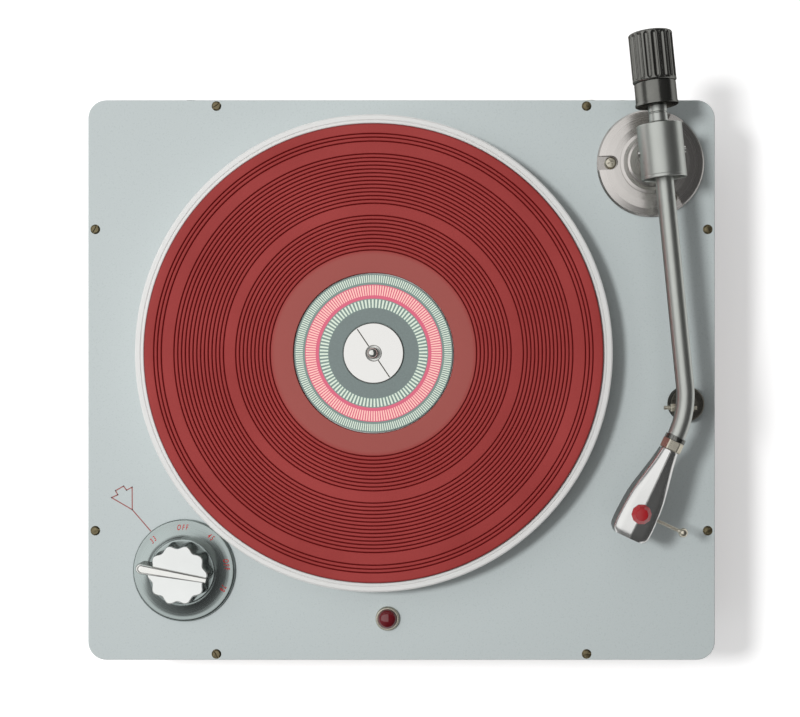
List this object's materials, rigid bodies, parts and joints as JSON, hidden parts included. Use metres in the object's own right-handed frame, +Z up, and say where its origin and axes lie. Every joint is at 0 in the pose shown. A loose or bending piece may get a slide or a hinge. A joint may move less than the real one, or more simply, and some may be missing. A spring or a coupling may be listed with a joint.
{
  "type": "transcription turntable",
  "caption": "Idler-drive record turntable on a wood base, with a ribbed mat, strobe disc, raising centre hub, speed selector knob and pivoted tone arm on its rest.",
  "frame": {"origin": "middle of the overall footprint, on the shelf under the feet", "axes": "+X to the right, towards the tone arm; +Y to the rear; +Z up"},
  "size_m": [0.412, 0.401, 0.169],
  "materials": {
    "walnut": "satin oiled walnut",
    "hardboard": "raw hardboard",
    "foot_rubber": "matt black rubber",
    "grommet_rubber": "soft black rubber",
    "idler_rubber": "ground black rubber",
    "red_rubber": "moulded brick-red rubber",
    "steel_fastener": "bright zinc",
    "antique_fastener": "aged nickel",
    "zinc_steel": "zinc plate",
    "stator_steel": "stacked laminations",
    "polished_steel": "ground and polished",
    "bearing_iron": "painted casting",
    "bearing_brass": "turned brass",
    "coil_copper": "varnished windings",
    "motor_paint": "dark wrinkle paint",
    "black_bakelite": "moulded phenolic",
    "nickel": "bright nickel",
    "ruby_glass": "dark red jewel",
    "bulb_glass": "clear glass",
    "deck_enamel": "satin light grey enamel",
    "platter_aluminium": "fine turned",
    "arm_aluminium": "satin anodised",
    "arm_satin_chrome": "satin chrome",
    "hub_chrome": "polished",
    "head_polish": "polished",
    "dark_chrome": "dark bright plate",
    "dark_knurl": "blackened knurled steel",
    "dial_metal": "satin spun dish",
    "knob_metal": "polished flutes",
    "knob_bright": "bright",
    "strobe_print": "printed plate",
    "red_plastic": "gloss red",
    "stylus_plastic": "ivory"
  },
  "bodies": {
    "base": {"plinth": "walnut", "bottom_panel": "hardboard", "feet": "foot_rubber", "foot_screws": "steel_fastener", "deck_plate": "deck_enamel", "deck_screws": "antique_fastener", "bearing_housing": "bearing_iron", "bearing_screws": "steel_fastener", "thrust_ball": "polished_steel", "motor_plate": "zinc_steel", "motor_grommets": "grommet_rubber", "motor_screws": "steel_fastener", "motor_stator": "stator_steel", "motor_coils": "coil_copper", "motor_bells": "motor_paint", "carriage_post": "polished_steel", "selector_bushing": "bearing_brass", "power_switch": "black_bakelite", "lamp_bezel": "nickel", "lamp_jewel": "ruby_glass", "lamp_bulb": "bulb_glass", "lamp_holder": "zinc_steel", "arm_base": "arm_satin_chrome", "arm_base_screws": "nickel", "arm_pillar": "polished_steel", "rest_post": "dark_knurl", "rest_pin": "nickel", "mains_gland": "black_bakelite", "phono_sockets": "nickel", "ground_post": "nickel"},
    "platter": {"platter": "platter_aluminium", "platter_mat": "red_rubber", "strobe_disc": "strobe_print", "spindle": "polished_steel"},
    "hub": {"hub_45": "hub_chrome"},
    "rotor": {"motor_rotor": "stator_steel", "motor_pulley": "bearing_brass"},
    "carriage": {"carriage_lever": "zinc_steel"},
    "idler": {"idler_wheel": "platter_aluminium", "idler_tyre": "idler_rubber"},
    "selector": {"selector_shaft": "polished_steel", "selector_cam": "bearing_brass", "selector_dial": "dial_metal", "knob_body": "knob_metal", "knob_pointer": "knob_bright"},
    "yoke": {"pivot_housing": "arm_satin_chrome", "yaw_shaft": "polished_steel", "pitch_pins": "polished_steel"},
    "arm": {"arm_block": "platter_aluminium", "arm_tube": "arm_aluminium", "arm_stub": "arm_aluminium", "headshell": "head_polish", "cartridge": "black_bakelite", "finger_lift": "nickel"},
    "weight": {"counterweight": "dark_chrome"},
    "collar": {"collar_nut": "arm_aluminium"},
    "stylus": {"stylus_knob": "red_plastic", "stylus_carrier": "stylus_plastic"}
  },
  "joints": [
    {"name": "platter_spin", "type": "hinge", "parent": "base", "child": "platter", "pos_m": [-0.0164, 0.00101, 0.12], "axis": [0, 0, -1], "continuous": true},
    {"name": "hub_lift", "type": "slide", "parent": "platter", "child": "hub", "axis": [0, 0, 1], "range_m": [0, 0.0045]},
    {"name": "motor_spin", "type": "hinge", "parent": "base", "child": "rotor", "pos_m": [-0.11368, -0.05265, 0.08], "axis": [0, 0, -1], "continuous": true},
    {"name": "selector_turn", "type": "hinge", "parent": "base", "child": "selector", "pos_m": [-0.1425, -0.14129, 0.11], "axis": [0, 0, 1], "range_deg": [0, 160]},
    {"name": "carriage_swing", "type": "hinge", "parent": "base", "child": "carriage", "pos_m": [-0.16872, -0.01074, 0.095], "axis": [0, 0, 1], "range_deg": [0, 3]},
    {"name": "idler_spin", "type": "hinge", "parent": "carriage", "child": "idler", "pos_m": [-0.12748, -0.02876, 0.12], "axis": [0, 0, -1], "continuous": true},
    {"name": "arm_swing", "type": "hinge", "parent": "base", "child": "yoke", "pos_m": [0.1635, 0.12571, 0.14], "axis": [0, 0, -1], "range_deg": [0, 40]},
    {"name": "arm_lift", "type": "hinge", "parent": "yoke", "child": "arm", "pos_m": [0.1635, 0.12571, 0.155], "axis": [-0.9951, -0.0993, 0], "range_deg": [0, 18]},
    {"name": "counterweight_slide", "type": "slide", "parent": "arm", "child": "weight", "axis": [-0.0993, 0.9951, 0], "range_m": [-0.004, 0.004]},
    {"name": "collar_turn", "type": "hinge", "parent": "arm", "child": "collar", "pos_m": [0.16826, -0.05943, 0.155], "axis": [-0.4258, -0.9048, 0], "range_deg": [0, 90]},
    {"name": "stylus_turn", "type": "hinge", "parent": "arm", "child": "stylus", "pos_m": [0.15008, -0.09806, 0.155], "axis": [0, 0, 1], "range_deg": [0, 180]}
  ],
  "couplings": [
    {"joint": "idler_spin", "follows": "platter_spin", "ratio": 5.6},
    {"joint": "motor_spin", "follows": "platter_spin", "ratio": -54},
    {"joint": "carriage_swing", "follows": "selector_turn", "ratio": 0.01875}
  ]
}
